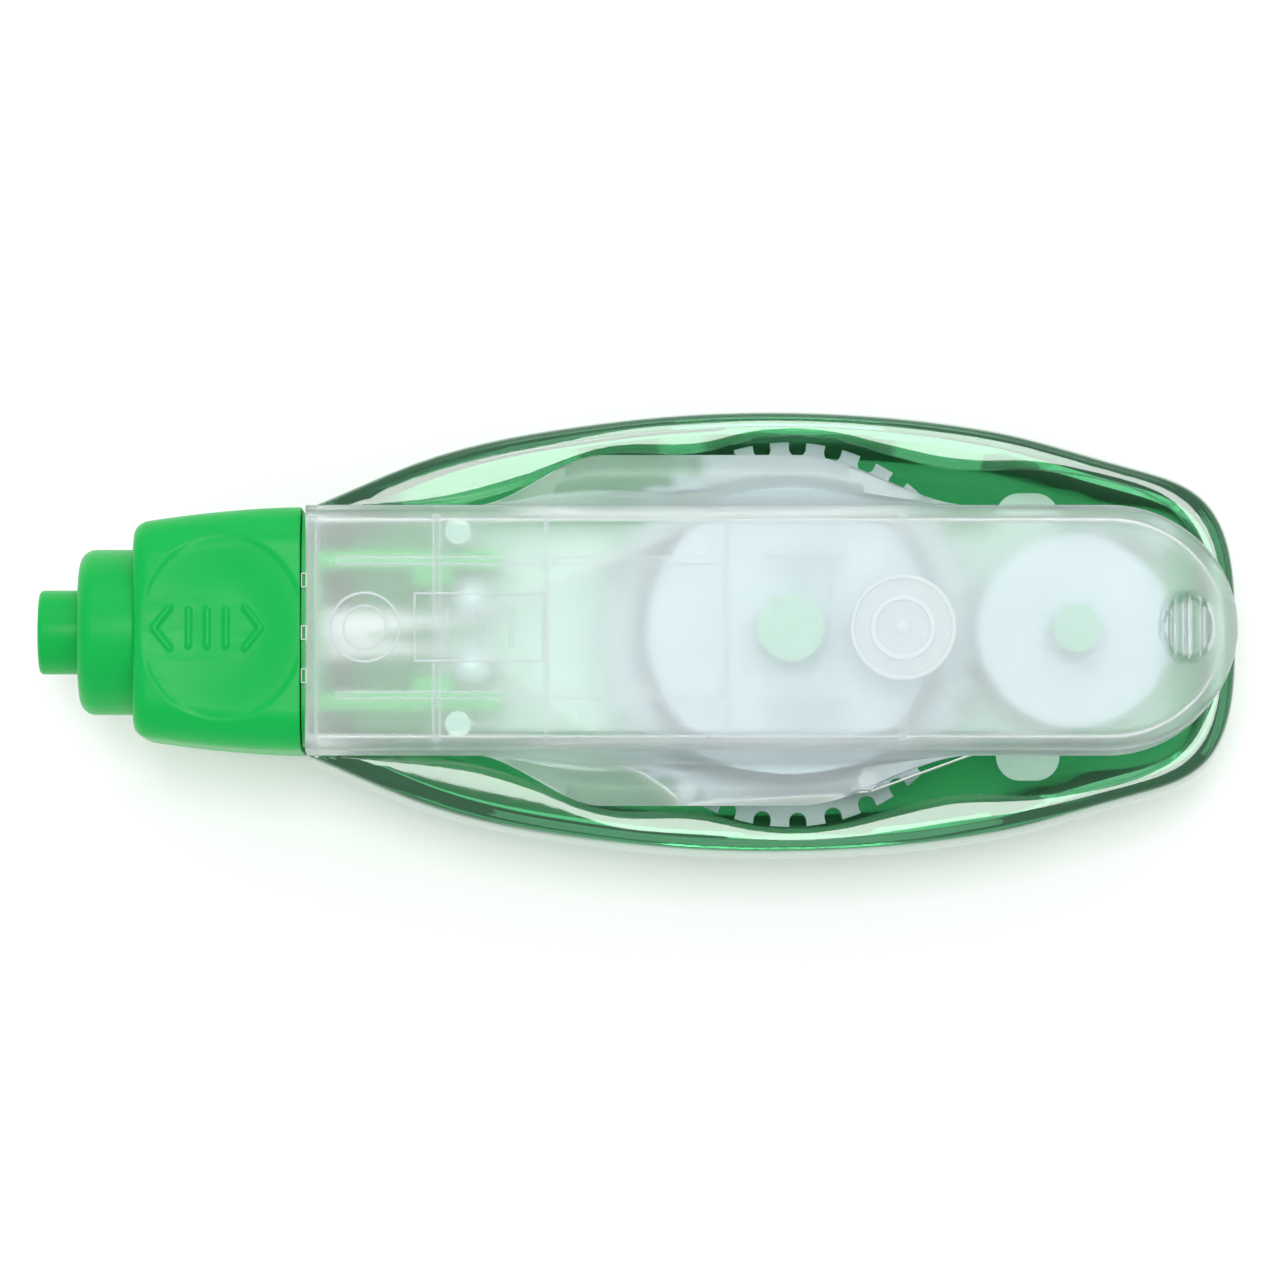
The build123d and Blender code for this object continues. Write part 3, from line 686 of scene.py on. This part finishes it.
def nose_cap():
    """The cap's outer shell: rounded rectangles that widen to the rear, bored through and closed at both
    ends."""
    rear, front = nose_high[0], nose_low[0]
    run = rear - front
    back_half, back_tall = nose_high[1], (nose_high[2] - nose_low[2]) / 2
    shares = np.linspace(0, 1, 400, endpoint=False)
    rows = []

    def half_sizes(share):
        """Half width and half height at a share of the way forward: they change by share^1.7."""
        bow = share ** 1.7
        return (back_half + (NOSE_FRONT_HALF[0] - back_half) * bow,
                back_tall + (NOSE_FRONT_HALF[1] - back_tall) * bow)

    stations = [(0.0, 0.12), (0.0, 0.04)] + [(s, 0.0) for s in np.linspace(0.004, NOSE_ROUND_START, 118)]
    for share, inset in stations:
        wide, tall = half_sizes(share)
        y, z = rounded_section(wide - inset, tall - inset, NOSE_CORNER, shares)
        rows.append((rear - share * run, y, z))
    base_wide, base_tall = half_sizes(NOSE_ROUND_START)
    nose_round = 0.1 * run
    for angle in np.linspace(0, np.pi / 2, 9)[1:]:
        inset = nose_round * (1 - math.cos(angle)) * 0.75
        y, z = rounded_section(base_wide - inset - 0.1 * math.sin(angle), base_tall - inset,
                               NOSE_CORNER - 0.5 * inset, shares)
        rows.append((rear - NOSE_ROUND_START * run - nose_round * math.sin(angle), y, z))
    sheet = np.stack([np.stack([0 * y + x, y, z], -1) for x, y, z in rows])
    flat = np.abs(sheet[..., 2]) > sheet[..., 2].max(1, keepdims=True) - 0.25
    depth = nose_relief(sheet[..., 0], sheet[..., 1])
    fade = 1 - ease(0.97, 1.0, (rear - sheet[..., 0]) / run)
    sheet[..., 2] -= np.sign(sheet[..., 2]) * depth * flat * fade
    around = np.arctan2(sheet[-1, :, 2], sheet[-1, :, 1])
    bores = [(front, 6.35), (front + 0.15, 6.22), (front + 1.0, 6.22), (front + 1.05, NOSE_BORE),
             (rear - 0.2, NOSE_BORE), (rear, NOSE_BORE + 0.2)]
    holes = np.stack([np.stack([0 * around + x, r * np.cos(around), r * np.sin(around)], -1)
                      for x, r in bores])
    sheet = np.concatenate([sheet, holes])
    sheet[..., 2] += cap_axis
    return grid(sheet, close_u=True, close_v=True)


def spun(path, start=0.0, stop=2 * np.pi, steps=96, closed=True):
    """A surface of revolution about the cap's axis: (x, radius) pairs carried round between two angles."""
    x, radius = np.array(path, float).T
    angle = np.linspace(start, stop, steps, endpoint=not closed)[:, None]
    return np.stack([x + 0 * angle, radius * np.cos(angle), cap_axis + radius * np.sin(angle)], -1)


def arc(centre, radius, start, stop, steps=6):
    """Points on an arc in the (x, radius) plane, angles in degrees."""
    angle = np.radians(np.linspace(start, stop, steps))
    return [(centre[0] + radius * c, centre[1] + radius * s) for c, s in zip(np.cos(angle), np.sin(angle))]


def guard_collar():
    """The collar: a short drum with a well rounded front edge and a snap bead inside the cap."""
    rear = guard_high[0]
    shoulder = guard_low[0] + 4.1
    path = [(rear, 5.5), (rear, 6.2), (rear - 0.2, 6.5), (rear - 0.45, 6.5), (rear - 0.5, 6.2)]
    path += arc((shoulder + 0.15, 5.0), 1.2, 90, 165)
    path += [(shoulder - 0.99, 3.5), (shoulder - 1.02, 3.2), (shoulder - 1.02, 2.8), (shoulder, 2.9),
             (shoulder + 0.3, 5.3), (shoulder + 0.7, 5.5)]
    return grid(spun(path), close_u=True, close_v=True)


def guard_visor():
    """The half shell over the tip: half a drum with a closed front whose edge is softened."""
    front = guard_low[0]
    base = front + 3.2
    outer = [(base, 3.15), (base - 1.2, 3.15), *arc((front + 0.35, 2.8), 0.35, 90, 180),
             (front, 1.4), (front, 0)]
    inner = [(base, 2.75), (base - 1.2, 2.75), *arc((front + 0.5, 2.6), 0.15, 90, 180),
             (front + 0.35, 1.4), (front + 0.35, 0)]
    half_turn = (0, np.pi, 41, False)
    return skin(spun(outer, *half_turn).swapaxes(0, 1), spun(inner, *half_turn).swapaxes(0, 1), ("last_u",))


# ---------------------------------------------------------------- the object

shell_look = green_shell()
tray_look = frosted("frosted_tray", 0.07, 0.27)
rib_look = frosted("frosted_ribs", 0.85, 0.30)
cap_look = moulded("cap_green", (0.0, 0.47, 0.08), (0.0, 0.39, 0.055), 0.33, gloss=0.2)
carrier_look = moulded("carrier_green", (0.0, 0.50, 0.08), (0.0, 0.42, 0.06), 0.38, gloss=0.3)
reel_look = moulded("reel_milk", (0.46, 0.55, 0.57), (0.39, 0.48, 0.51), 0.36, milky=0.2)
plate_look = moulded("plate_green", (0.62, 0.82, 0.71), (0.55, 0.75, 0.64), 0.42, milky=0.2)
tip_look = moulded("tip_white", (0.86, 0.87, 0.85), (0.80, 0.81, 0.79), 0.3)

make_piece("shell_hull", grid(shell_rings(), close_v=True), "shell", shell_look,
           ["outer_shell"])
make_piece("tray_pan", tray_pan(), "refill", tray_look, ["tray_frame"])
make_piece("tray_inside", tray_inside(), "refill", rib_look)
make_piece("cap_tongues", cap_tongues(), "refill", tip_look)
make_piece("tray_marks", tray_marks(), "refill", rib_look)
make_piece("nose_cap", nose_cap(), "twist_cap", cap_look, ["nose_shell"], 50)
make_piece("guard_collar", guard_collar(), "twist_cap", cap_look, ["tip_guard"])
make_piece("guard_visor", guard_visor(), "twist_cap", cap_look)

LOOKS = {
    "carrier_green": carrier_look, "reel_white": reel_look, "plate_green": plate_look, "tip_white": tip_look,
    "tape_white": film("tape_white", (0.92, 0.92, 0.90), (0.86, 0.86, 0.84), 0.5),
    "film_clear": film("film_clear", (0.80, 0.81, 0.78), (0.72, 0.73, 0.70), 0.4),
    "washer_steel": spring_steel("washer_steel", (1, 0.1, 1)),
    "pin_steel": spring_steel("pin_steel", (1, 0.1, 1)),
}
WOUND = {
    "supply_tape": wound("supply_wound", (0.60, 0.63, 0.64), (0.50, 0.53, 0.54), middle("supply_tape")),
    "take_up_tape": wound("take_up_wound", (0.80, 0.81, 0.78), (0.68, 0.69, 0.66), middle("take_up_tape")),
}
slots = {part["node"]: part["material_slot"] for part in frame["record"]["subparts"]}
for node, made in frame["nodes"].items():
    look = WOUND.get(node) or LOOKS.get(slots[node])
    if look:
        made.data.materials.clear()
        made.data.materials.append(look)


# ---------------------------------------------------------------- studio

def studio():
    """White floor, even white surroundings, a soft box overhead and a soft lamp at the left hand side."""
    points = np.array([[x, y, 0.0] for x in (-2500, 2500) for y in (-2500, 2500)]).reshape(2, 2, 3)
    mesh = bpy.data.meshes.new("studio_floor")
    floor_points, quads = grid(points)
    mesh.from_pydata((floor_points * MM).tolist(), [], quads[:, ::-1].tolist())
    mesh.materials.append(floor_paint())
    floor = bpy.data.objects.new("studio_floor", mesh)
    bpy.context.scene.collection.objects.link(floor)
    world = bpy.data.worlds.new("studio")
    world.use_nodes = True
    world.node_tree.nodes["Background"].inputs[0].default_value = (1.0, 1.0, 1.0, 1)
    world.node_tree.nodes["Background"].inputs[1].default_value = 0.80
    bpy.context.scene.world = world
    for name, place, size, power in (("top", (0.0, 0.12, 1.1), 0.3, 3.4),
                                     ("key", (0.05, 0.75, 0.6), 0.6, 1.5)):
        lamp = bpy.data.lights.new(name, "AREA")
        lamp.size = size
        lamp.energy = power
        holder = bpy.data.objects.new(name, lamp)
        holder.location = place
        aim = -holder.location
        holder.rotation_euler = aim.to_track_quat("-Z", "Y").to_euler()
        bpy.context.scene.collection.objects.link(holder)


def camera():
    """Long lens almost straight above the tray face, leaning 3 degrees to the right hand side."""
    distance, lean, view_width = 0.6, math.radians(3.0), 0.0948
    target = np.array([0.0, -0.00096, tray_face * MM])
    data = bpy.data.cameras.new("camera")
    data.sensor_width = 36
    data.lens = 36 * distance / view_width
    holder = bpy.data.objects.new("camera", data)
    holder.location = target + distance * np.array([0, -math.sin(lean), math.cos(lean)])
    holder.rotation_euler = (lean, 0, 0)
    bpy.context.scene.collection.objects.link(holder)
    bpy.context.scene.camera = holder


studio()
camera()
scene = bpy.context.scene
scene.view_settings.view_transform = "Standard"
